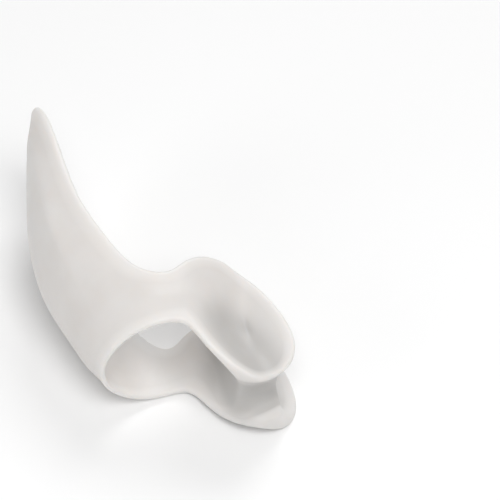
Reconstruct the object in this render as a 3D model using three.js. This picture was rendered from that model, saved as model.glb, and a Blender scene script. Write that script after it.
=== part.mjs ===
// Bunion corrector for the left big toe: one soft gel moulding, in millimetres, at rest on a floor.
// X runs across the foot from its inner side towards the second toe, Y along the big toe towards the
// heel, and Z up. The origin lies on the floor under the toe ring.
//
// The guard is described as a form: a function of a point that is negative inside the gel. Its hollow
// is the space that the two toes and the bunion joint take up, its wall follows that hollow, and masks
// cut the wall to the toe ring, the long shield and the spacer. A grid walk turns the form into a mesh.

import * as THREE from "three";
import { mergeVertices } from "three/addons/utils/BufferGeometryUtils.js";

// The hollow
const TOE_WIDTH = 27.6; // toe ring, inside
const TOE_HEIGHT = 25.2;
const JOINT_WIDTH = 49; // round the bunion joint, were the shield a full ring
const JOINT_HEIGHT = 38.6;
const TOE_GAP = 9.3; // between the hollows for the two toes, the least width of the spacer
const SECOND_TOE = 18.2; // diameter of the hollow for the second toe, at the ring's front rim
const TOE_LIFT = 0.3; // its underside there, above the big toe's
const TOE_SPLAY = 8; // its turn away from the big toe, degrees
const TOE_RISE = 6.8; // its climb towards the heel, degrees
const TOE_SWELL = 1.4; // its widening towards the heel, degrees

// The walls
const SOLE_WALL = 1.6; // under the big toe
const RING_WALL = 2.3;
const PAD_WALL = 4.3; // at the cushion over the bunion
const PAD_LENGTH = 20; // distance along Y in which the cushion fades out
const PAD_ARC = 70; // the same round the shield, degrees
const RIM_WALL = 1.5; // towards every rim
const RIM_TAPER = 9; // width of the border that thins towards the rim
const OUTER_ROUND = 1.6; // rounding of a rim's outer edge
const INNER_ROUND = 1.3; // and of its inner edge
const SOLE_ROUND = 0.6; // rounding round the flat sole

// The toe ring and the shield
const RING_FRONT = 7.3; // front rim, ahead of the origin
const RING_REAR = 4.4; // rear rim, behind the origin
const RING_TURN = 4; // the front rim lies further back on the inner side, degrees
const SHIELD_REACH = 64; // tip of the shield, behind the origin
const LOWER_WRAP = 0.84; // the shield's lower rim lies further round: its angles shrink to this share
const WRAP_ENDS = [70, 130]; // degrees between which that share returns to 1
const RING_CORNER = 3; // rounding where the ring's rims end

// The skin fold between the toes, behind which the two hollows are one
const WEB_START = -5; // it begins here along Y
const WEB_FULL = 12; // and is full here
const WEB_FILLET = 34; // blend of the two hollows there

// The spacer between the toes: a column with an oval flange at each end
const SPACER_AHEAD = 9.2; // its middle, ahead of the origin
const SPACER_IN = 0.29; // its middle, as a share of the gap between the toes
const SPACER_LEAN = 15; // turn of the flanges seen from above, degrees
const TOP_LENGTH = 33.4;
const TOP_WIDTH = 21.3;
const LOW_LENGTH = 35;
const LOW_WIDTH = 20.7;
const WAIST_LENGTH = 25.5; // the column, along the toes
const WAIST_HEIGHT = 12; // its narrowest level, above the floor
const TOP_FLARE = 11; // height in which the column widens to the top flange
const LOW_FLARE = 6.5; // and to the lower one
const FULLNESS = 2.2; // 2 gives elliptic flanges, more gives squarer ones
const COLUMN_FILLET = 32; // blend of the walls beside the two toes into the column
const FILLET_START = -28; // behind this along Y the blend changes slowly to the web's
const SPACER_CORNER = 6; // rounding in plan between the ring and the flanges
const DISH_DEPTH = 2.2; // hollow of the top flange

// The mesh
const BOX_CELL = 2.2; // width of the cells of the grid that finds the guard's box
const BOX_MARGIN = 2; // of that box, in diagonals of such a cell
const CELL = 1.12; // width of the cells of the grid that finds its surface
const TRIANGLES = 10500; // left after the flat places are thinned
const STAY_NEAR = 0.1; // how strongly a point keeps to the middle of its cell's surface, 0 to 1
const SEARCH_ROUNDS = 4; // when the surface's crossing of a line is sought
const THIN_ERROR = 0.01; // how far the surface may move in the first round of thinning
const THIN_GROWTH = 1.6; // growth of a merger's allowed cost from round to round
const THIN_ROUNDS = 40; // at most
const LENGTH_COST = 1e-3; // what the length of an edge adds to the cost of merging it
const LEAST_TURN = 0.3; // cosine of the most that a triangle may turn when its points are merged
const SLOPE_STEP = 1e-3; // distance over which a form's slope is measured
const TINY = 1e-9; // keeps a ratio finite at the middle of an oval

const GEL = new THREE.MeshStandardMaterial({ name: "gel", color: 0xe2e0dc, roughness: 0.45, metalness: 0 });

// Sections of the hollow round the big toe and the joint. at: share of SHIELD_REACH behind the origin.
// side: how far the inner side stands out past the toe's, share of JOINT_WIDTH. wide, tall: 0 at the
// toe's size, 1 at the joint's. sole: lift of the underside, share of JOINT_HEIGHT.
const SECTIONS = [
  { at: -0.62, side: -0.012, wide: -0.056, tall: -0.06, sole: 0.004 },
  { at: -0.125, side: -0.002, wide: 0, tall: 0, sole: 0 },
  { at: 0.0625, side: 0.018, wide: 0.224, tall: 0.17, sole: -0.012 },
  { at: 0.22, side: 0.036, wide: 0.533, tall: 0.5, sole: -0.04 },
  { at: 0.375, side: 0.039, wide: 0.794, tall: 0.8, sole: -0.06 },
  { at: 0.5625, side: 0.006, wide: 1, tall: 1, sole: -0.04 },
  { at: 0.75, side: -0.059, wide: 1.131, tall: 1.02, sole: 0.04 },
  { at: 0.97, side: -0.159, wide: 1.234, tall: 1.045, sole: 0.135 },
  { at: 1.4, side: -0.424, wide: 1.234, tall: 1.1, sole: 0.295 },
];
const PAD_AT = 0.375; // middle of the cushion, share of SHIELD_REACH

// Rear rim of the ring and the shield. angle: degrees round the hollow from its inner side. reach: 0 at
// the ring's rear rim, 1 at the shield's tip.
const REAR_RIM = [
  { angle: -20, reach: 0.955 },
  { angle: 0, reach: 1 },
  { angle: 10, reach: 0.973 },
  { angle: 21, reach: 0.883 },
  { angle: 32, reach: 0.72 },
  { angle: 41.5, reach: 0.525 },
  { angle: 56, reach: 0.273 },
  { angle: 72, reach: 0.104 },
  { angle: 90, reach: 0.026 },
  { angle: 110, reach: 0 },
  { angle: 145, reach: 0 },
  { angle: 180, reach: 0 },
];

// Natural cubic spline of one column of a table over another.
function spline(rows, across, column) {
  const x = rows.map((row) => row[across]);
  const y = rows.map((row) => row[column]);
  const last = x.length - 1;
  const bend = x.map(() => 0);
  const share = x.map(() => 0);
  for (let i = 1; i < last; i++) {
    const before = x[i] - x[i - 1];
    const after = x[i + 1] - x[i];
    const turn = (y[i + 1] - y[i]) / after - (y[i] - y[i - 1]) / before;
    const pivot = 2 * (before + after) - before * share[i - 1];
    share[i] = after / pivot;
    bend[i] = (6 * turn - before * bend[i - 1]) / pivot;
  }
  for (let i = last - 1; i > 0; i--) bend[i] -= share[i] * bend[i + 1];
  return (at) => {
    const place = THREE.MathUtils.clamp(at, x[0], x[last]);
    const i = Math.max(1, x.findIndex((value) => value >= place));
    const step = x[i] - x[i - 1];
    const a = (x[i] - place) / step;
    const b = 1 - a;
    const curve = (a ** 3 - a) * bend[i - 1] + (b ** 3 - b) * bend[i];
    return a * y[i - 1] + b * y[i] + (curve * step * step) / 6;
  };
}

const side = spline(SECTIONS, "at", "side");
const wide = spline(SECTIONS, "at", "wide");
const tall = spline(SECTIONS, "at", "tall");
const sole = spline(SECTIONS, "at", "sole");
const rearReach = spline(REAR_RIM, "angle", "reach");

const step01 = THREE.MathUtils.smootherstep;
const radians = THREE.MathUtils.degToRad;

// Joins two forms, with a fillet as wide as the difference up to which they blend.
function union(a, b, width) {
  const near = width > 0 ? Math.max(1 - Math.abs(a - b) / width, 0) : 0;
  return Math.min(a, b) - (width * near ** 3) / 6;
}

// Keeps what two forms have in common, with its edges rounded in the same way.
function common(a, b, width) {
  return -union(-a, -b, width);
}

// Distance to an ellipse, good near its outline.
function toEllipse(dx, dz, a, b) {
  const ratio = Math.hypot(dx / a, dz / b);
  return (ratio * (ratio - 1)) / (Math.hypot(dx / a ** 2, dz / b ** 2) + TINY);
}

// Section of the hollow round the big toe and the joint at a place along Y.
function section(y) {
  const at = y / SHIELD_REACH;
  const a = (TOE_WIDTH + (JOINT_WIDTH - TOE_WIDTH) * wide(at)) / 2;
  const b = (TOE_HEIGHT + (JOINT_HEIGHT - TOE_HEIGHT) * tall(at)) / 2;
  const x = a - TOE_WIDTH / 2 - side(at) * JOINT_WIDTH;
  const z = b + SOLE_WALL + sole(at) * JOINT_HEIGHT;
  return { x, z, a, b };
}

// Distances to the two hollows, the angle round the first from its inner side, and its mean radius.
function hollows(x, y, z) {
  const big = section(y);
  const along = (angle) => (y + RING_FRONT) * Math.tan(radians(angle));
  const radius = SECOND_TOE / 2 + along(TOE_SWELL);
  const middle = (TOE_WIDTH + SECOND_TOE) / 2 + TOE_GAP + along(TOE_SPLAY);
  const level = SOLE_WALL + SECOND_TOE / 2 + TOE_LIFT + along(TOE_RISE);
  return {
    first: toEllipse(x - big.x, z - big.z, big.a, big.b),
    second: Math.hypot(x - middle, z - level) - radius,
    angle: THREE.MathUtils.radToDeg(Math.atan2(z - big.z, big.x - x)),
    girth: (big.a + big.b) / 2,
  };
}

// Negative between the rims of the ring and the shield.
function bandMask(x, y, angle, girth) {
  const wrap = LOWER_WRAP + (1 - LOWER_WRAP) * step01(-angle, ...WRAP_ENDS);
  const round = Math.abs(angle) * (angle < 0 ? wrap : 1);
  const length = SHIELD_REACH - RING_REAR;
  const rear = y - RING_REAR - length * rearReach(round);
  const perDegree = (length * (rearReach(round + 1) - rearReach(round - 1))) / 2;
  const slope = perDegree / radians(girth);
  const ahead = -RING_FRONT - y - x * Math.tan(radians(RING_TURN));
  const band = common(rear / Math.hypot(1, slope), ahead, RING_CORNER);
  return common(band, x - (TOE_WIDTH + TOE_GAP) / 2, RING_CORNER);
}

// Place in the plan of the flanges: along their length and across it.
function inPlan(x, y) {
  const lean = radians(SPACER_LEAN);
  const dx = x - TOE_WIDTH / 2 - SPACER_IN * TOE_GAP;
  const dy = y + SPACER_AHEAD;
  return [dx * Math.sin(lean) - dy * Math.cos(lean), dx * Math.cos(lean) + dy * Math.sin(lean)];
}

// Negative inside a rounded oval in the plan of the flanges.
function oval(x, y, length, width) {
  const [u, v] = inPlan(x, y).map((value) => Math.abs(value) * 2);
  const ratio = ((u / length) ** FULLNESS + (v / width) ** FULLNESS) ** (1 / FULLNESS) + TINY;
  const du = (u / length) ** (FULLNESS - 1) / length;
  const dv = (v / width) ** (FULLNESS - 1) / width;
  return (ratio - 1) / (2 * Math.hypot(du, dv) * ratio ** (1 - FULLNESS) + TINY);
}

// Negative inside the outline of the spacer, which is longest at its flanges.
function spacerMask(x, y, z) {
  const high = z > WAIST_HEIGHT;
  const [length, width] = high ? [TOP_LENGTH, TOP_WIDTH] : [LOW_LENGTH, LOW_WIDTH];
  const flare = step01(Math.abs(z - WAIST_HEIGHT), 0, high ? TOP_FLARE : LOW_FLARE);
  return oval(x, y, WAIST_LENGTH + (length - WAIST_LENGTH) * flare, width);
}

// 1 in the middle of the top flange's dish, 0 outside it.
function dish(x, y, z) {
  const [u, v] = inPlan(x, y);
  const inside = Math.max(1 - ((2 * u) / TOP_LENGTH) ** 2 - ((2 * v) / TOP_WIDTH) ** 2, 0);
  return inside ** 2 * step01(z, WAIST_HEIGHT, WAIST_HEIGHT + TOP_FLARE);
}

// 1 in the middle of the cushion over the bunion, fading round it.
function cushion(y, angle) {
  const away = (y - PAD_AT * SHIELD_REACH) / PAD_LENGTH;
  return Math.exp(-(away ** 2) - (angle / PAD_ARC) ** 2);
}

// The guard: negative inside the gel.
function guard(x, y, z) {
  const { first, second, angle, girth } = hollows(x, y, z);
  const web = step01(y, WEB_START, WEB_FULL);
  const skin = union(first, second, WEB_FILLET * web);
  const mask = union(bandMask(x, y, angle, girth), spacerMask(x, y, z), SPACER_CORNER);
  const full = RING_WALL + (PAD_WALL - RING_WALL) * cushion(y, angle);
  const wall = RIM_WALL + (full - RIM_WALL) * step01(-mask, 0, RIM_TAPER);
  const bowl = dish(x, y, z);
  const blend = COLUMN_FILLET + (WEB_FILLET - COLUMN_FILLET) * step01(y, FILLET_START, WEB_FULL);
  const outer = union(first, second, blend) - wall + DISH_DEPTH * bowl;
  const trimmed = common(outer, mask, OUTER_ROUND);
  const hollowed = common(trimmed, -skin, INNER_ROUND);
  return common(hollowed, -z, SOLE_ROUND);
}

// Corners of a grid cell are numbered by bits: 1 along X, 2 along Y, 4 along Z. Edges join corners that
// differ in one bit, and a face lists its corners in a ring.
const BITS = [..."xyz"].map((_, axis) => 2 ** axis);
const CORNERS = Array.from({ length: 2 ** BITS.length }, (_, corner) => corner);
const EDGES = BITS.flatMap((bit) => CORNERS.filter((c) => !(c & bit)).map((c) => [c, c | bit]));
const FACES = BITS.flatMap((bit) => {
  const [p, q] = BITS.filter((other) => other !== bit);
  const ring = [0, p, p | q, q];
  return [ring, ring.map((corner) => corner | bit)];
});

function edgeBetween(a, b) {
  return EDGES.findIndex(([low, high]) => low === Math.min(a, b) && high === Math.max(a, b));
}

// The patches of surface in a cell, as a patch number for each crossed edge and -1 for the others. On a
// face with four crossed edges the corners outside are cut off one by one, so that thin walls stay whole.
function patchesIn(inside) {
  const crossed = EDGES.map(([a, b]) => inside[a] !== inside[b]);
  const patch = EDGES.map((_, edge) => edge);
  const join = (e, f) => {
    const old = patch[f];
    patch.forEach((number, edge) => {
      if (number === old) patch[edge] = patch[e];
    });
  };
  for (const face of FACES) {
    const edges = face.map((corner, i) => edgeBetween(corner, face[(i + 1) % 4]));
    const cut = edges.filter((edge) => crossed[edge]);
    if (cut.length === 2) join(cut[0], cut[1]);
    if (cut.length < 4) continue;
    face.forEach((corner, i) => {
      if (!inside[corner]) join(edges[i], edges[(i + 3) % 4]);
    });
  }
  return patch.map((number, edge) => (crossed[edge] ? number : -1));
}

// The values of a form at the corners of a grid over a box, whose cells are as wide as asked or less.
function sample(form, box, width) {
  const size = box.getSize(new THREE.Vector3()).toArray();
  const cells = size.map((length) => Math.ceil(length / width));
  const step = size.map((length, axis) => length / cells[axis]);
  const counts = cells.map((count) => count + 1);
  const stride = [1, counts[0], counts[0] * counts[1]];
  const origin = box.min.toArray();
  const pointAt = (i, j, k) => [i, j, k].map((n, axis) => origin[axis] + n * step[axis]);
  const values = new Float64Array(stride[2] * counts[2]);
  for (let k = 0; k < counts[2]; k++)
    for (let j = 0; j < counts[1]; j++)
      for (let i = 0; i < counts[0]; i++)
        values[i + j * stride[1] + k * stride[2]] = form(...pointAt(i, j, k));
  return { values, cells, counts, stride, step, pointAt };
}

// The box that holds a form, found on a coarse grid over a larger box.
function boxOf(form, around, width) {
  const grid = sample(form, around, width);
  const reach = BOX_MARGIN * Math.hypot(...grid.step);
  const box = new THREE.Box3();
  for (let k = 0; k < grid.counts[2]; k++)
    for (let j = 0; j < grid.counts[1]; j++)
      for (let i = 0; i < grid.counts[0]; i++)
        if (grid.values[i + j * grid.stride[1] + k * grid.stride[2]] < reach)
          box.expandByPoint(new THREE.Vector3(...grid.pointAt(i, j, k)));
  return box;
}

// The direction in which a form grows fastest.
function slopeOf(form, [x, y, z]) {
  const h = SLOPE_STEP;
  return new THREE.Vector3(
    form(x + h, y, z) - form(x - h, y, z),
    form(x, y + h, z) - form(x, y - h, z),
    form(x, y, z + h) - form(x, y, z - h),
  ).normalize();
}

// The point where the surface crosses the line between two points.
function crossing(form, start, end, startValue, endValue) {
  let [low, high] = [0, 1];
  let [lowValue, highValue] = [startValue, endValue];
  let point = start;
  for (let round = 0; round < SEARCH_ROUNDS; round++) {
    const share = low + ((high - low) * lowValue) / (lowValue - highValue);
    point = start.map((value, axis) => value + share * (end[axis] - value));
    const value = form(...point);
    if (value < 0 === lowValue < 0) [low, lowValue] = [share, value];
    else [high, highValue] = [share, value];
  }
  return point;
}

// The point nearest to all the planes that touch the surface at some of its points. It lies on the rim
// where the planes turn sharply, and near the middle of the points where they don't say.
function cornerOf(form, touched) {
  const middle = new THREE.Vector3();
  for (const point of touched) middle.addScaledVector(new THREE.Vector3(...point), 1 / touched.length);
  const sums = new Array(9).fill(0);
  const pull = new THREE.Vector3();
  for (const point of touched) {
    const normal = slopeOf(form, point);
    const n = normal.toArray();
    const offset = normal.dot(new THREE.Vector3(...point).sub(middle));
    sums.forEach((_, i) => (sums[i] += n[i % 3] * n[Math.floor(i / 3)]));
    pull.addScaledVector(normal, offset);
  }
  for (const i of [0, 4, 8]) sums[i] += STAY_NEAR;
  return pull.applyMatrix3(new THREE.Matrix3().fromArray(sums).invert()).add(middle).toArray();
}

// A closed mesh of a form: one vertex in each patch of each cell, and a quad round each crossed edge.
function meshOf(form, box, width) {
  const grid = sample(form, box, width);
  const { cells } = grid;
  const at = (i, j, k) => i + j * grid.stride[1] + k * grid.stride[2];
  const cornerOffset = (c) => at(c & 1, (c >> 1) & 1, (c >> 2) & 1);
  const cornerPoint = (i, j, k, c) => grid.pointAt(i + (c & 1), j + ((c >> 1) & 1), k + ((c >> 2) & 1));
  const points = [];
  const pointOf = new Map();
  for (let k = 0; k < cells[2]; k++)
    for (let j = 0; j < cells[1]; j++)
      for (let i = 0; i < cells[0]; i++) {
        const cell = at(i, j, k);
        const values = CORNERS.map((c) => grid.values[cell + cornerOffset(c)]);
        if (values.every((v) => v < 0) || values.every((v) => v >= 0)) continue;
        const patch = patchesIn(values.map((v) => v < 0));
        for (const number of new Set(patch)) {
          if (number < 0) continue;
          const edges = EDGES.map((_, edge) => edge).filter((edge) => patch[edge] === number);
          const touched = edges.map((edge) => {
            const [a, b] = EDGES[edge];
            const [start, end] = [a, b].map((c) => cornerPoint(i, j, k, c));
            return crossing(form, start, end, values[a], values[b]);
          });
          const low = cornerPoint(i, j, k, 0);
          const high = cornerPoint(i, j, k, CORNERS.at(-1));
          const point = cornerOf(form, touched);
          points.push(point.map((value, axis) => THREE.MathUtils.clamp(value, low[axis], high[axis])));
          for (const edge of edges) pointOf.set(cell * EDGES.length + edge, points.length - 1);
        }
      }
  const triangles = [];
  const gap = (a, b) => Math.hypot(...points[a].map((value, axis) => value - points[b][axis]));
  for (let k = 0; k < cells[2]; k++)
    for (let j = 0; j < cells[1]; j++)
      for (let i = 0; i < cells[0]; i++)
        BITS.forEach((bit, axis) => {
          const low = grid.values[at(i, j, k)] < 0;
          const high = grid.values[at(i, j, k) + grid.stride[axis]] < 0;
          if (low === high) return;
          const p = (axis + 1) % 3;
          const q = (axis + 2) % 3;
          const quad = [[1, 1], [0, 1], [0, 0], [1, 0]].map(([backP, backQ]) => {
            const cell = at(i, j, k) - backP * grid.stride[p] - backQ * grid.stride[q];
            const corner = backP * BITS[p] + backQ * BITS[q];
            return pointOf.get(cell * EDGES.length + edgeBetween(corner, corner | bit));
          });
          if (high) quad.reverse();
          const [a, b, c, d] = quad;
          if (gap(a, c) < gap(b, d)) triangles.push([a, b, c], [a, c, d]);
          else triangles.push([a, b, d], [b, c, d]);
        });
  return { points, triangles };
}

// The squared distance to a plane, as the ten numbers of a form in x, y, z and 1.
function planeError([a, b, c]) {
  const [p, q, r] = [a, b, c].map((point) => new THREE.Vector3(...point));
  const normal = q.sub(p).cross(r.sub(p));
  const area = normal.length() / 2;
  normal.normalize();
  const plane = [...normal.toArray(), -normal.dot(p)];
  return plane.flatMap((v, i) => plane.slice(i).map((w) => v * w * area));
}

function errorAt(sums, [x, y, z]) {
  const point = [x, y, z, 1];
  const products = point.flatMap((v, i) => point.slice(i).map((w, j) => (j ? 2 : 1) * v * w));
  return products.reduce((total, product, i) => total + product * sums[i], 0);
}

// Merges neighbouring points of a closed mesh where that moves its surface least, until few enough
// triangles are left.
function thin({ points, triangles }, most) {
  const errors = points.map(() => new Array(10).fill(0));
  const around = points.map(() => new Set());
  for (const triangle of triangles) {
    const error = planeError(triangle.map((corner) => points[corner]));
    for (const corner of triangle) {
      around[corner].add(triangle);
      error.forEach((value, i) => (errors[corner][i] += value));
    }
  }
  const normalOf = (corners) => {
    const [p, q, r] = corners.map((point) => new THREE.Vector3(...point));
    return q.sub(p).cross(r.sub(p)).normalize();
  };
  const turns = (moved, other, target) =>
    [...around[moved]].some((triangle) => {
      if (triangle.includes(other)) return false;
      const before = triangle.map((corner) => points[corner]);
      const after = triangle.map((corner) => (corner === moved ? target : points[corner]));
      return normalOf(before).dot(normalOf(after)) < LEAST_TURN;
    });
  const nextTo = (corner) => new Set([...around[corner]].flat());
  let left = triangles.length;
  let limit = (THIN_ERROR * CELL) ** 2;
  for (let round = 0; round < THIN_ROUNDS && left > most; round++) {
    const busy = new Set();
    for (let from = 0; from < points.length && left > most; from++) {
      if (busy.has(from)) continue;
      let best = null;
      for (const to of nextTo(from)) {
        if (to === from || busy.has(to)) continue;
        const sums = errors[from].map((value, i) => value + errors[to][i]);
        const middle = points[from].map((value, axis) => (value + points[to][axis]) / 2);
        const spread = LENGTH_COST * Math.hypot(...points[from].map((v, axis) => v - points[to][axis]));
        for (const target of [middle, points[to], points[from]]) {
          const cost = errorAt(sums, target) + spread;
          if (cost < (best?.cost ?? limit)) best = { to, target, cost, sums };
        }
      }
      if (!best) continue;
      const { to, target, sums } = best;
      const shared = [...nextTo(from)].filter((corner) => nextTo(to).has(corner));
      if (shared.length !== 4 || turns(from, to, target) || turns(to, from, target)) continue;
      for (const triangle of [...around[from]]) {
        if (triangle.includes(to)) {
          for (const corner of triangle) around[corner].delete(triangle);
          left -= 1;
        } else {
          triangle[triangle.indexOf(from)] = to;
          around[to].add(triangle);
        }
      }
      around[from].clear();
      points[to] = target;
      errors[to] = sums;
      for (const corner of nextTo(to)) busy.add(corner);
      busy.add(from);
    }
    limit *= THIN_GROWTH;
  }
  return { points, triangles: [...new Set(around.flatMap((set) => [...set]))] };
}

// The guard's mesh, with the sole made exactly flat.
function guardMesh() {
  const room = new THREE.Box3(
    new THREE.Vector3(-JOINT_WIDTH, -SPACER_AHEAD - TOP_LENGTH - LOW_LENGTH, -RING_WALL),
    new THREE.Vector3(JOINT_WIDTH + TOP_WIDTH, SHIELD_REACH + RIM_TAPER, 2 * JOINT_HEIGHT),
  );
  const shell = meshOf(guard, boxOf(guard, room, BOX_CELL), CELL);
  for (const point of shell.points) if (point[2] < SOLE_ROUND / 6) point[2] = 0;
  const { points, triangles } = thin(shell, TRIANGLES);
  const geometry = new THREE.BufferGeometry();
  const corners = triangles.flat().flatMap((corner) => points[corner]);
  geometry.setAttribute("position", new THREE.Float32BufferAttribute(corners, 3));
  const merged = mergeVertices(geometry);
  merged.computeVertexNormals();
  const mesh = new THREE.Mesh(merged, GEL);
  mesh.name = "gel_guard";
  return mesh;
}

const corrector = new THREE.Group();
corrector.name = "bunion_corrector";
corrector.add(guardMesh());

export default corrector;
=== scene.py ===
"""A bunion corrector for the left big toe: its looks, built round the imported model.

The guard is one soft gel moulding. It is traced finely from the same form as the CAD solid: a
function of a point, negative inside the gel. Lengths are in metres and angles in degrees unless a
comment says otherwise. X runs across the foot, Y along the big toe towards the heel, and Z up.
"""

import math

import bpy
import numpy as np
from mathutils import Matrix, Vector

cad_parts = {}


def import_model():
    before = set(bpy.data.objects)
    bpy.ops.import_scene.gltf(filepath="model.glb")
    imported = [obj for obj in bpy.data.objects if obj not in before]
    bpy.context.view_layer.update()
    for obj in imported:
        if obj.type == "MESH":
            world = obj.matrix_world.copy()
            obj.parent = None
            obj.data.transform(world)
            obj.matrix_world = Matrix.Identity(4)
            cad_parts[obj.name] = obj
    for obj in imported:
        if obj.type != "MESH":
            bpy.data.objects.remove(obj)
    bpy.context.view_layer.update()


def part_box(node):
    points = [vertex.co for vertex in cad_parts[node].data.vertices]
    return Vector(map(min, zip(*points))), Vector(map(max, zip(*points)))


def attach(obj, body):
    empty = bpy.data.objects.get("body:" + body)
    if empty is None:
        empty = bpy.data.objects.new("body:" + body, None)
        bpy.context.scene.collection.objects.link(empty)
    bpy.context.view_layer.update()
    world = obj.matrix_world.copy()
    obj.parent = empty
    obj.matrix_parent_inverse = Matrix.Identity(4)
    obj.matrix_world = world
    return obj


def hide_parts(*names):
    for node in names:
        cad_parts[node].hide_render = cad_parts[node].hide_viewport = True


MM = 0.001

# The hollow
TOE_WIDTH = 27.6 * MM  # toe ring, inside
TOE_HEIGHT = 25.2 * MM
JOINT_WIDTH = 49 * MM  # round the bunion joint, were the shield a full ring
JOINT_HEIGHT = 38.6 * MM
TOE_GAP = 9.3 * MM  # between the hollows for the two toes
SECOND_TOE = 18.2 * MM  # diameter of the second toe's hollow at the ring's front rim
TOE_LIFT = 0.3 * MM  # its underside there, above the big toe's
TOE_SPLAY = 8  # its turn away from the big toe
TOE_RISE = 6.8  # its climb towards the heel
TOE_SWELL = 1.4  # its widening towards the heel

# The walls
SOLE_WALL = 1.6 * MM  # under the big toe
RING_WALL = 2.3 * MM
PAD_WALL = 4.3 * MM  # at the cushion over the bunion
PAD_LENGTH = 20 * MM  # distance along Y in which the cushion fades out
PAD_ARC = 70  # the same round the shield
RIM_WALL = 1.5 * MM  # towards every rim
RIM_TAPER = 9 * MM  # width of the border that thins towards the rim
OUTER_ROUND = 1.6 * MM  # rounding of a rim's outer edge
INNER_ROUND = 1.3 * MM  # and of its inner edge
SOLE_ROUND = 0.6 * MM  # rounding round the flat sole

# The toe ring and the shield
RING_FRONT = 7.3 * MM  # front rim, ahead of the origin
RING_REAR = 4.4 * MM  # rear rim, behind the origin
RING_TURN = 4  # the front rim lies further back on the inner side
SHIELD_REACH = 64 * MM  # tip of the shield, behind the origin
LOWER_WRAP = 0.84  # the shield's lower rim lies further round: its angles shrink to this share
WRAP_ENDS = (70, 130)  # angles between which that share returns to 1
RING_CORNER = 3 * MM  # rounding where the ring's rims end

# The skin fold between the toes, behind which the two hollows are one
WEB_START = -5 * MM  # it begins here along Y
WEB_FULL = 12 * MM  # and is full here
WEB_FILLET = 34 * MM  # blend of the two hollows there

# The spacer between the toes: a column with an oval flange at each end
SPACER_AHEAD = 9.2 * MM  # its middle, ahead of the origin
SPACER_IN = 0.29  # its middle, as a share of the gap between the toes
SPACER_LEAN = 15  # turn of the flanges seen from above
TOP_LENGTH = 33.4 * MM
TOP_WIDTH = 21.3 * MM
LOW_LENGTH = 35 * MM
LOW_WIDTH = 20.7 * MM
WAIST_LENGTH = 25.5 * MM  # the column, along the toes
WAIST_HEIGHT = 12 * MM  # its narrowest level, above the floor
TOP_FLARE = 11 * MM  # height in which the column widens to the top flange
LOW_FLARE = 6.5 * MM  # and to the lower one
FULLNESS = 2.2  # 2 gives elliptic flanges, more gives squarer ones
COLUMN_FILLET = 32 * MM  # blend of the walls beside the two toes into the column
FILLET_START = -28 * MM  # behind this along Y the blend changes slowly to the web's
SPACER_CORNER = 6 * MM  # rounding in plan between the ring and the flanges
DISH_DEPTH = 2.2 * MM  # hollow of the top flange
TINY = 1e-9  # keeps a ratio finite

# Sections of the hollow round the big toe and the joint. at: share of SHIELD_REACH behind the
# origin. side: how far the inner side stands out past the toe's, share of JOINT_WIDTH. wide, tall:
# 0 at the toe's size, 1 at the joint's. sole: lift of the underside, share of JOINT_HEIGHT.
SECTIONS = dict(
    at=(-0.62, -0.125, 0.0625, 0.22, 0.375, 0.5625, 0.75, 0.97, 1.4),
    side=(-0.012, -0.002, 0.018, 0.036, 0.039, 0.006, -0.059, -0.159, -0.424),
    wide=(-0.056, 0, 0.224, 0.533, 0.794, 1, 1.131, 1.234, 1.234),
    tall=(-0.06, 0, 0.17, 0.5, 0.8, 1, 1.02, 1.045, 1.1),
    sole=(0.004, 0, -0.012, -0.04, -0.06, -0.04, 0.04, 0.135, 0.295),
)
PAD_AT = 0.375  # middle of the cushion, share of SHIELD_REACH

# Rear rim of the ring and the shield. angle: round the hollow from its inner side. reach: 0 at the
# ring's rear rim, 1 at the shield's tip.
REAR_RIM = dict(
    angle=(-20, 0, 10, 21, 32, 41.5, 56, 72, 90, 110, 145, 180),
    reach=(0.955, 1, 0.973, 0.883, 0.72, 0.525, 0.273, 0.104, 0.026, 0, 0, 0),
)


def spline(x, y):
    """A natural cubic spline through the points of two columns."""
    x, y = np.array(x, float), np.array(y, float)
    step = np.diff(x)
    turn = np.diff(np.diff(y) / step)
    inner = len(x) - 2
    rows = np.diag(2 * (step[:-1] + step[1:]))
    rows += np.diag(step[1:inner], 1) + np.diag(step[1:inner], -1)
    bend = np.zeros(len(x))
    bend[1:-1] = np.linalg.solve(rows, 6 * turn)

    def value(at):
        place = np.clip(at, x[0], x[-1])
        i = np.clip(np.searchsorted(x, place), 1, len(x) - 1)
        a = (x[i] - place) / step[i - 1]
        b = 1 - a
        curve = (a**3 - a) * bend[i - 1] + (b**3 - b) * bend[i]
        return a * y[i - 1] + b * y[i] + curve * step[i - 1] ** 2 / 6

    return value


SIDE, WIDE, TALL, SOLE = (
    spline(SECTIONS["at"], SECTIONS[name]) for name in ("side", "wide", "tall", "sole")
)
REAR_REACH = spline(REAR_RIM["angle"], REAR_RIM["reach"])


def step01(value, low, high):
    """0 below low, 1 above high, with a smooth rise between them."""
    t = np.clip((value - low) / (high - low), 0, 1)
    return t**3 * (t * (6 * t - 15) + 10)


def union(a, b, width):
    """Joins two forms, with a fillet as wide as the difference up to which they blend."""
    near = np.maximum(1 - np.abs(a - b) / np.maximum(width, TINY), 0)
    return np.minimum(a, b) - width * near**3 / 6


def common(a, b, width):
    """Keeps what two forms have in common, with its edges rounded in the same way."""
    return -union(-a, -b, width)


def to_ellipse(dx, dz, a, b):
    """Distance to an ellipse with half sizes a and b, good near its outline."""
    ratio = np.hypot(dx / a, dz / b)
    return ratio * (ratio - 1) / (np.hypot(dx / a**2, dz / b**2) + TINY)


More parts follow.
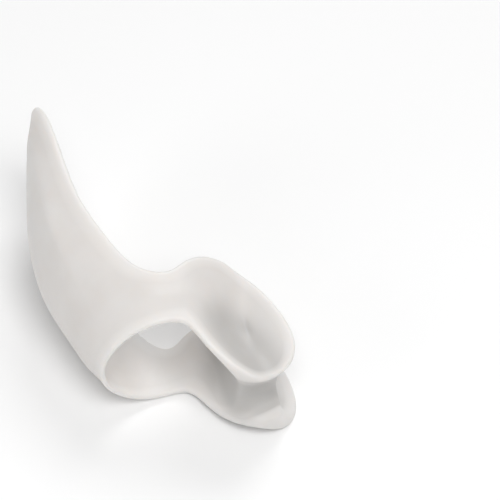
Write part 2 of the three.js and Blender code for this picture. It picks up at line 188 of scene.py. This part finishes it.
def section(y):
    """Section of the hollow round the big toe and the joint: its middle and half sizes."""
    at = y / SHIELD_REACH
    a = (TOE_WIDTH + (JOINT_WIDTH - TOE_WIDTH) * WIDE(at)) / 2
    b = (TOE_HEIGHT + (JOINT_HEIGHT - TOE_HEIGHT) * TALL(at)) / 2
    mid_x = a - TOE_WIDTH / 2 - SIDE(at) * JOINT_WIDTH
    mid_z = b + SOLE_WALL + SOLE(at) * JOINT_HEIGHT
    return mid_x, mid_z, a, b


def hollows(x, y, z):
    """Distances to the two hollows, the angle round the first and its mean radius."""
    mid_x, mid_z, a, b = section(y)
    ahead = y + RING_FRONT
    radius = SECOND_TOE / 2 + ahead * math.tan(math.radians(TOE_SWELL))
    middle = (TOE_WIDTH + SECOND_TOE) / 2 + TOE_GAP + ahead * math.tan(math.radians(TOE_SPLAY))
    level = SOLE_WALL + SECOND_TOE / 2 + TOE_LIFT + ahead * math.tan(math.radians(TOE_RISE))
    first = to_ellipse(x - mid_x, z - mid_z, a, b)
    second = np.hypot(x - middle, z - level) - radius
    return first, second, np.degrees(np.arctan2(z - mid_z, mid_x - x)), (a + b) / 2


def band_mask(x, y, angle, girth):
    """Negative between the rims of the ring and the shield."""
    wrap = LOWER_WRAP + (1 - LOWER_WRAP) * step01(-angle, *WRAP_ENDS)
    turn = np.abs(angle) * np.where(angle < 0, wrap, 1)
    length = SHIELD_REACH - RING_REAR
    rear = y - RING_REAR - length * REAR_REACH(turn)
    slope = length * (REAR_REACH(turn + 1) - REAR_REACH(turn - 1)) / 2 / np.radians(girth)
    ahead = -RING_FRONT - y - x * math.tan(math.radians(RING_TURN))
    band = common(rear / np.hypot(1, slope), ahead, RING_CORNER)
    return common(band, x - (TOE_WIDTH + TOE_GAP) / 2, RING_CORNER)


def in_plan(x, y):
    """Place in the plan of the flanges: along their length and across it."""
    lean = math.radians(SPACER_LEAN)
    dx = x - TOE_WIDTH / 2 - SPACER_IN * TOE_GAP
    dy = y + SPACER_AHEAD
    return dx * math.sin(lean) - dy * math.cos(lean), dx * math.cos(lean) + dy * math.sin(lean)


def oval(x, y, length, width):
    """Negative inside a rounded oval in the plan of the flanges."""
    u, v = (2 * np.abs(part) for part in in_plan(x, y))
    ratio = ((u / length) ** FULLNESS + (v / width) ** FULLNESS) ** (1 / FULLNESS) + TINY
    du = (u / length) ** (FULLNESS - 1) / length
    dv = (v / width) ** (FULLNESS - 1) / width
    return (ratio - 1) / (2 * np.hypot(du, dv) * ratio ** (1 - FULLNESS) + TINY)


def spacer_mask(x, y, z):
    """Negative inside the outline of the spacer, which is longest at its flanges."""
    high = z > WAIST_HEIGHT
    flare = step01(np.abs(z - WAIST_HEIGHT), 0, np.where(high, TOP_FLARE, LOW_FLARE))
    length = np.where(high, TOP_LENGTH, LOW_LENGTH)
    width = np.where(high, TOP_WIDTH, LOW_WIDTH)
    return oval(x, y, WAIST_LENGTH + (length - WAIST_LENGTH) * flare, width)


def dish(x, y, z):
    """1 in the middle of the top flange's dish, 0 outside it."""
    u, v = in_plan(x, y)
    inside = np.maximum(1 - (2 * u / TOP_LENGTH) ** 2 - (2 * v / TOP_WIDTH) ** 2, 0)
    return inside**2 * step01(z, WAIST_HEIGHT, WAIST_HEIGHT + TOP_FLARE)


def cushion(y, angle):
    """1 in the middle of the cushion over the bunion, fading round it."""
    return np.exp(-(((y - PAD_AT * SHIELD_REACH) / PAD_LENGTH) ** 2) - (angle / PAD_ARC) ** 2)


def outline(x, y, z, angle, girth):
    """Negative inside the outline of the whole guard, seen from outside."""
    return union(band_mask(x, y, angle, girth), spacer_mask(x, y, z), SPACER_CORNER)


def guard(x, y, z):
    """The guard: negative inside the gel."""
    first, second, angle, girth = hollows(x, y, z)
    web = step01(y, WEB_START, WEB_FULL)
    skin = union(first, second, WEB_FILLET * web)
    mask = outline(x, y, z, angle, girth)
    full = RING_WALL + (PAD_WALL - RING_WALL) * cushion(y, angle)
    wall = RIM_WALL + (full - RIM_WALL) * step01(-mask, 0, RIM_TAPER)
    bowl = dish(x, y, z)
    blend = COLUMN_FILLET + (WEB_FILLET - COLUMN_FILLET) * step01(y, FILLET_START, WEB_FULL)
    outer = union(first, second, blend) - wall + DISH_DEPTH * bowl
    trimmed = common(outer, mask, OUTER_ROUND)
    hollowed = common(trimmed, -skin, INNER_ROUND)
    return common(hollowed, -z, SOLE_ROUND)


# Small marks on the surface
DIMPLE_AT = (19.1 * MM, -9.2 * MM)  # in the top flange's dish
DIMPLE_SIZE = (0.8 * MM, 2.1 * MM)  # half its width and length
DIMPLE_TURN = 2  # from the Y axis
DIMPLE_DEPTH = 0.36 * MM
DIMPLE_LEVEL = 14 * MM  # it lies above this level
WAVES = (  # slow unevenness of the moulding: direction, length of a wave, height
    ((0.8, 0.5, 0.3), 13 * MM, 0.03 * MM),
    ((-0.4, 0.9, 0.2), 17 * MM, 0.035 * MM),
    ((0.3, -0.2, 0.9), 11 * MM, 0.02 * MM),
    ((0.6, 0.7, -0.4), 23 * MM, 0.04 * MM),
)
WAVE_PHASE = 1  # of every wave at the origin, in radians
SOLE_FADE = 1.5 * MM  # the marks fade out towards the flat sole

# Painted shade in the dish and round the column's waist, as a share of the shade colour: 0 where
# there is none, up to 1
SHADE_UNDER_DISH = 0.72  # under the dish
SHADE_BESIDE_COLUMN = 0.85  # at the column's sides
UNDER_AHEAD = 6.5 * MM  # its middle under the dish, ahead of the spacer's
UNDER_FADE = (0, 9 * MM)  # inside the top flange's outline, from no painted shade to full
BESIDE_FADE = (-4 * MM, -1 * MM)  # the same for the column's outline, outside which both lie
BESIDE_LEVELS = (3 * MM, 8.5 * MM)  # above and below the waist, from full painted shade to none

# The mesh
CELL = 0.5 * MM  # of the grid in which the surface is traced
MARGIN = 1.2 * MM  # of that grid round the CAD box
SLOPE_STEP = 1e-6  # distance over which the form's slope is measured
LEAST_SLOPE = 0.1  # square of the slope below which a point's way to the surface stops growing
SETTLE_ROUNDS = 3
RELAX_ROUNDS = 4
CORNERS = tuple(np.ndindex(2, 2, 2))  # of a cell


def marks(x, y, z):
    """How far the surface lies inside the form, because of the dimple and the slow unevenness."""
    turn = math.radians(DIMPLE_TURN)
    dx, dy = x - DIMPLE_AT[0], y - DIMPLE_AT[1]
    across = (dx * math.cos(turn) + dy * math.sin(turn)) / DIMPLE_SIZE[0]
    along = (dy * math.cos(turn) - dx * math.sin(turn)) / DIMPLE_SIZE[1]
    depth = DIMPLE_DEPTH * np.exp(-(across**2) - along**2) * (z > DIMPLE_LEVEL)
    for direction, length, height in WAVES:
        way = np.array(direction) / np.linalg.norm(direction)
        place = (x * way[0] + y * way[1] + z * way[2]) / length
        depth = depth + height * np.sin(2 * math.pi * place + WAVE_PHASE)
    return depth * step01(z, 0, SOLE_FADE)


def surface(x, y, z):
    """The form with its small marks."""
    return guard(x, y, z) + marks(x, y, z)


def slope_at(points):
    """The form's slope at each point, along the three axes."""
    slope = np.empty_like(points)
    for axis in range(3):
        step = np.zeros(3)
        step[axis] = SLOPE_STEP
        slope[:, axis] = surface(*(points + step).T) - surface(*(points - step).T)
    return slope / (2 * SLOPE_STEP)


def settled(points):
    """The points moved along the form's slope onto its surface."""
    for _ in range(SETTLE_ROUNDS):
        slope = slope_at(points)
        reach = surface(*points.T) / np.maximum((slope**2).sum(1), LEAST_SLOPE)
        points = points - slope * np.clip(reach, -CELL / 2, CELL / 2)[:, None]
    return points


def crossings(values, active):
    """The middle of the places where the form's surface crosses the edges of each active cell."""
    middle = np.zeros((len(active), 3))
    crossed = np.zeros(len(active))
    for start in CORNERS:
        for axis in range(3):
            if start[axis]:
                continue
            end = tuple(o + (a == axis) for a, o in enumerate(start))
            a = values[tuple((active + start).T)]
            b = values[tuple((active + end).T)]
            cut = (a < 0) != (b < 0)
            share = np.where(cut, a / np.where(cut, a - b, 1), 0)
            place = np.array(start) + share[:, None] * (np.array(end) - start)
            middle += np.where(cut[:, None], place, 0)
            crossed += cut
    return middle / crossed[:, None]


def quads_across(inside, number, axis):
    """A quad between the four cells round each grid line along an axis that the surface crosses."""
    cells = number.shape
    p, q = (axis + 1) % 3, (axis + 2) % 3
    at = np.argwhere(inside != np.roll(inside, -1, axis))
    at = at[(at[:, axis] < cells[axis]) & (at > 0)[:, [p, q]].all(1)]
    at = at[(at[:, p] < cells[p]) & (at[:, q] < cells[q])]
    ring = []
    for back_p, back_q in ((1, 1), (0, 1), (0, 0), (1, 0)):
        cell = at.copy()
        cell[:, p] -= back_p
        cell[:, q] -= back_q
        ring.append(number[tuple(cell.T)])
    ring = np.stack(ring, 1)
    leaving = inside[tuple(at.T)]
    return np.where(leaving[:, None], ring, ring[:, ::-1])


def traced(low, high):
    """Points and quads of the surface between two corners, with a point for each crossed cell."""
    counts = np.ceil((high - low) / CELL).astype(int) + 1
    axes = [low[axis] + CELL * np.arange(counts[axis]) for axis in range(3)]
    values = surface(*np.meshgrid(*axes, indexing="ij"))
    inside = values < 0
    cells = tuple(counts - 1)
    total = np.zeros(cells, int)
    for corner in CORNERS:
        total += inside[tuple(slice(o, o + n) for o, n in zip(corner, cells))]
    active = np.argwhere((total > 0) & (total < len(CORNERS)))
    number = np.full(cells, -1)
    number[tuple(active.T)] = np.arange(len(active))
    points = low + CELL * (active + crossings(values, active))
    return points, np.concatenate([quads_across(inside, number, axis) for axis in range(3)])


def relaxed(points, quads):
    """The points drawn towards the middle of their neighbours and put back on the surface."""
    ends = np.concatenate([quads[:, [i, (i + 1) % 4]] for i in range(4)])
    for _ in range(RELAX_ROUNDS):
        total = np.zeros_like(points)
        count = np.bincount(ends[:, 0], minlength=len(points))
        for axis in range(3):
            total[:, axis] = np.bincount(ends[:, 0], points[ends[:, 1], axis], len(points))
        points = settled((points + total / count[:, None]) / 2)
    return points


def rim_and_shade(x, y, z):
    """Two numbers from 0 to 1: how near a point lies to a rim, for the painted rim highlight, and
    how much painted shade lies there, in the dish and round the column's waist.
    """
    # painted shade under the dish and round the column's waist
    under = step01(-oval(x, y + UNDER_AHEAD, TOP_LENGTH, TOP_WIDTH), *UNDER_FADE)
    beside = step01(-oval(x, y, WAIST_LENGTH, TOP_WIDTH), *BESIDE_FADE)
    beside = beside * (1 - step01(np.abs(z - WAIST_HEIGHT), *BESIDE_LEVELS))
    angle, girth = hollows(x, y, z)[2:]
    near = (1 - step01(-outline(x, y, z, angle, girth), 0, RIM_TAPER)) * (1 - beside)
    return near, np.maximum(SHADE_UNDER_DISH * under, SHADE_BESIDE_COLUMN * beside)


def gel_guard(low, high):
    """The guard as one object, with two numbers at each point for its material: its nearness to a
    rim, for the painted rim highlight, and its painted shade.
    """
    points, quads = traced(low - MARGIN, high + MARGIN)
    points = relaxed(settled(points), quads)
    points[:, 2] = np.maximum(points[:, 2], low[2])
    mesh = bpy.data.meshes.new("gel_guard_fine")
    mesh.from_pydata(points.tolist(), [], quads.tolist())
    mesh.shade_smooth()
    for name, values in zip(("rim", "thick"), rim_and_shade(*points.T)):
        attribute = mesh.attributes.new(name, "FLOAT", "POINT")
        attribute.data.foreach_set("value", values.astype(np.float32))
    piece = bpy.data.objects.new("gel_guard_fine", mesh)
    bpy.context.scene.collection.objects.link(piece)
    return piece


# The gel
GEL_COLOUR = (0.684, 0.656, 0.632)
CLOUD_COLOUR = (0.71, 0.692, 0.675)  # of the paler clouds in it
# painted shade: the colour towards which the dish and the column's waist are darkened
PAINTED_SHADE_COLOUR = (0.455, 0.444, 0.43)
# painted highlight: the paler colour along the rims
RIM_HIGHLIGHT_COLOUR = (0.76, 0.742, 0.725)
RIM_HIGHLIGHT_RANGE = (0.8, 1, 0, 0.85)  # nearness to a rim, and the share of the painted rim highlight there
CLOUDS = dict(scale=75, detail=3, roughness=0.55)
CLOUD_RANGE = (0.35, 0.65, 0, 1)  # of the noise, and the share of the clouds' colour there
SATIN = dict(scale=210, detail=4)
SATIN_RANGE = (0.3, 0.7, 0.4, 0.5)  # of the noise, and the surface's roughness there
GRAIN = dict(scale=5200, detail=3, roughness=0.6)
GRAIN_BUMP = dict(Strength=0.35, Distance=0.02 * MM)
RIPPLE = dict(scale=420, detail=2)
RIPPLE_BUMP = dict(Strength=0.4, Distance=0.06 * MM)
GEL_SCATTER = dict(
    Subsurface_Weight=0.55,
    Subsurface_Radius=(1, 0.88, 0.76),
    Subsurface_Scale=2.2 * MM,
)
GEL_GLOSS = dict(
    IOR=1.41,
    Coat_Weight=0.18,
    Coat_Roughness=0.36,
    Sheen_Weight=0.06,
    Sheen_Roughness=0.5,
)

# The floor
FLOOR_COLOURS = ((0.93, 0.93, 0.93), (0.95, 0.95, 0.95))
FLOOR_TONES = dict(scale=2, detail=2)
FLOOR_RANGE = (0.3, 0.7, 0, 1)  # of the noise, and the share of the second colour there
FLOOR_ROUGHNESS = 0.9


class Nodes:
    """A material's node tree, with short calls to add nodes and wire them."""

    def __init__(self, name):
        self.material = bpy.data.materials.new(name)
        self.material.use_nodes = True
        self.tree = self.material.node_tree
        self.shader = self.tree.nodes["Principled BSDF"]

    def put(self, value, socket):
        """Links another node's socket to this one, or sets this one to a constant."""
        if isinstance(value, bpy.types.NodeSocket):
            self.tree.links.new(value, socket)
        else:
            socket.default_value = value

    def add(self, kind, **settings):
        """A new node. A name with an underscore before it is the node's own, others are sockets."""
        node = self.tree.nodes.new(kind)
        for name, value in settings.items():
            if name.startswith("_"):
                setattr(node, name[1:], value)
            else:
                self.put(value, node.inputs[name])
        return node

    def noise(self, where, scale, detail, roughness=0.5):
        """Noise of that many features to a metre."""
        settings = dict(Scale=scale, Detail=detail, Roughness=roughness)
        return self.add("ShaderNodeTexNoise", Vector=where, **settings).outputs["Fac"]

    def spread(self, value, low, high, to_low, to_high):
        """Value from low to high, brought to another range."""
        ends = {"From Min": low, "From Max": high, "To Min": to_low, "To Max": to_high}
        return self.add("ShaderNodeMapRange", Value=value, **ends).outputs["Result"]

    def mix(self, share, a, b):
        """One colour fading to another."""
        node = self.add("ShaderNodeMix", _data_type="RGBA")
        self.put(share, node.inputs[0])
        for socket, colour in ((node.inputs[6], a), (node.inputs[7], b)):
            self.put((*colour, 1) if isinstance(colour, tuple) else colour, socket)
        return node.outputs[2]

    def wire(self, **sockets):
        """Sets the shader's sockets; an underscore in a name stands for a space."""
        for name, value in sockets.items():
            self.put(value, self.shader.inputs[name.replace("_", " ")])


def gel_material():
    """Milky soft gel: cloudy inside, satin outside, with painted shade in the dish and round the
    column's waist, and a painted highlight along the rims.
    """
    nodes = Nodes("milky_gel")
    where = nodes.add("ShaderNodeTexCoord").outputs["Object"]
    cloud = nodes.spread(nodes.noise(where, **CLOUDS), *CLOUD_RANGE)
    gel_tone = nodes.mix(cloud, GEL_COLOUR, CLOUD_COLOUR)
    # painted shade in the dish and round the column's waist
    thick = nodes.add("ShaderNodeAttribute", _attribute_name="thick").outputs["Fac"]
    body = nodes.mix(thick, gel_tone, PAINTED_SHADE_COLOUR)
    # painted highlight along the rims
    rim = nodes.add("ShaderNodeAttribute", _attribute_name="rim").outputs["Fac"]
    colour = nodes.mix(nodes.spread(rim, *RIM_HIGHLIGHT_RANGE), body, RIM_HIGHLIGHT_COLOUR)
    rough = nodes.spread(nodes.noise(where, **SATIN), *SATIN_RANGE)
    grain = nodes.noise(where, **GRAIN)
    ripple = nodes.noise(where, **RIPPLE)
    fine = nodes.add("ShaderNodeBump", Height=grain, **GRAIN_BUMP)
    soft = nodes.add("ShaderNodeBump", Height=ripple, Normal=fine.outputs[0], **RIPPLE_BUMP)
    nodes.wire(Base_Color=colour, Roughness=rough, Normal=soft.outputs[0])
    nodes.wire(**GEL_SCATTER, **GEL_GLOSS)
    return nodes.material


def floor_material():
    """Plain pale floor."""
    nodes = Nodes("pale_floor")
    where = nodes.add("ShaderNodeTexCoord").outputs["Object"]
    tone = nodes.spread(nodes.noise(where, **FLOOR_TONES), *FLOOR_RANGE)
    nodes.wire(Base_Color=nodes.mix(tone, *FLOOR_COLOURS), Roughness=FLOOR_ROUGHNESS)
    return nodes.material


# The stage
FLOOR_SIZE = 6
FLOOR_DROP = 0.05 * MM  # keeps the floor clear of the flat sole
CAMERA_AT = (-122.5 * MM, -361.62 * MM, 499.23 * MM)
CAMERA_AIM = (21.98 * MM, -4.03 * MM, 39.6 * MM)
LENS = 194.4  # millimetres, as the sensor
SENSOR = 36
WORLD_COLOUR = (1, 1, 1, 1)
WORLD_LIGHT = 0.375
LIGHTS = (  # name, place, aim, size, watts
    ("key", (0, -0.28, 0.56), (0, -0.01, 0), 0.4, 2.15),
    ("sheen", (0.5, 0.6, 0.8), (0, 0.02, 0), 0.6, 3.9),
    ("fill", (-1.0, 0, 0.4), (0, 0.02, 0), 0.6, 1.65),
)


def looking(place, aim):
    """A pose at a place, facing another, with its top up."""
    place, aim = Vector(place), Vector(aim)
    turn = (aim - place).to_track_quat("-Z", "Y").to_matrix().to_4x4()
    return Matrix.Translation(place) @ turn


def add_floor():
    """One large square just under the sole."""
    half = FLOOR_SIZE / 2
    around = ((-half, -half), (half, -half), (half, half), (-half, half))
    mesh = bpy.data.meshes.new("floor")
    mesh.from_pydata([(x, y, -FLOOR_DROP) for x, y in around], [], [(0, 1, 2, 3)])
    mesh.materials.append(floor_material())
    floor = bpy.data.objects.new("floor", mesh)
    bpy.context.scene.collection.objects.link(floor)


def add_camera():
    """The camera at the photo's viewing angle."""
    data = bpy.data.cameras.new("camera")
    data.lens, data.sensor_width = LENS, SENSOR
    camera = bpy.data.objects.new("camera", data)
    camera.matrix_world = looking(CAMERA_AT, CAMERA_AIM)
    bpy.context.scene.collection.objects.link(camera)
    bpy.context.scene.camera = camera


def add_lights():
    """Soft round lights and an even white surround."""
    for name, place, aim, size, watts in LIGHTS:
        data = bpy.data.lights.new(name, "AREA")
        data.shape, data.size, data.energy = "DISK", size, watts
        light = bpy.data.objects.new(name, data)
        light.matrix_world = looking(place, aim)
        bpy.context.scene.collection.objects.link(light)
    world = bpy.data.worlds.new("studio")
    world.use_nodes = True
    background = world.node_tree.nodes["Background"]
    background.inputs["Color"].default_value = WORLD_COLOUR
    background.inputs["Strength"].default_value = WORLD_LIGHT
    bpy.context.scene.world = world
    bpy.context.scene.view_settings.view_transform = "Standard"


def main():
    """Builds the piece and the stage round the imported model."""
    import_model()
    low, high = (np.array(corner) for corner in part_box("gel_guard"))
    piece = gel_guard(low, high)
    piece.data.materials.append(gel_material())
    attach(piece, "root")
    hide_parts("gel_guard")
    add_floor()
    add_camera()
    add_lights()


main()
